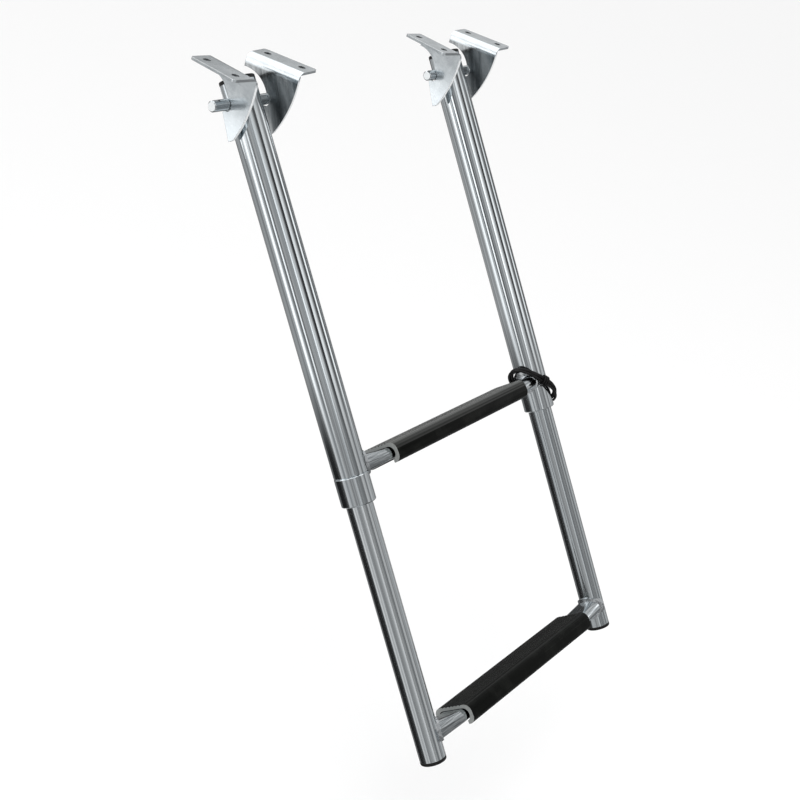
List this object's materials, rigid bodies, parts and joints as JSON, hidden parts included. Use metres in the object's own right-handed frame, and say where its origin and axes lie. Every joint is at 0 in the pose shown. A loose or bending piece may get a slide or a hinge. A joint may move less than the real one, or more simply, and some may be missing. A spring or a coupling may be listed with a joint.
{
  "type": "boat boarding ladder",
  "caption": "Telescoping stainless boarding ladder for a boat: sliding tubular rails, flat rungs with black treads, and hook-on angle brackets.",
  "frame": {"origin": "on the brackets' mounting plane, midway between the rails and straight above the pivot pins", "axes": "+Z is the mounting plane's outward normal, +X runs along the pivot pins, -Y is the side the climber stands on"},
  "size_m": [0.4299, 0.4033, 0.5404],
  "materials": {
    "polished_tube": "polished stainless steel with lengthwise brushing",
    "polished_plate": "mirror-polished stainless plate",
    "weld": "cleaned weld bead",
    "tread_plastic": "satin black moulded plastic",
    "plug_plastic": "black moulded plastic",
    "bearing_plastic": "natural nylon",
    "strap_rubber": "black rubber cord"
  },
  "bodies": {
    "brackets": {"left_outboard_bracket": "polished_plate", "left_inboard_bracket": "polished_plate", "right_outboard_bracket": "polished_plate", "right_inboard_bracket": "polished_plate"},
    "upper_frame": {"left_outer_tube": "polished_tube", "right_outer_tube": "polished_tube", "left_pivot_pin": "polished_tube", "right_pivot_pin": "polished_tube", "left_top_plug": "plug_plastic", "right_top_plug": "plug_plastic", "left_collar": "polished_tube", "right_collar": "polished_tube", "left_collar_bushing": "bearing_plastic", "right_collar_bushing": "bearing_plastic", "upper_rung": "polished_tube", "upper_rung_welds": "weld", "upper_tread": "tread_plastic", "retaining_strap": "strap_rubber"},
    "lower_frame": {"left_inner_tube": "polished_tube", "right_inner_tube": "polished_tube", "left_top_glide": "bearing_plastic", "right_top_glide": "bearing_plastic", "left_foot_plug": "plug_plastic", "right_foot_plug": "plug_plastic", "lower_rung": "polished_tube", "lower_rung_welds": "weld", "lower_tread": "tread_plastic"}
  },
  "joints": [
    {"name": "ladder_swing", "type": "hinge", "parent": "brackets", "child": "upper_frame", "pos_m": [0, 0, -0.034], "axis": [1, 0, 0], "range_deg": [-54, 43.5]},
    {"name": "lower_section_slide", "type": "slide", "parent": "upper_frame", "child": "lower_frame", "axis": [0, 0.5878, 0.809], "range_m": [0, 0.211]}
  ]
}
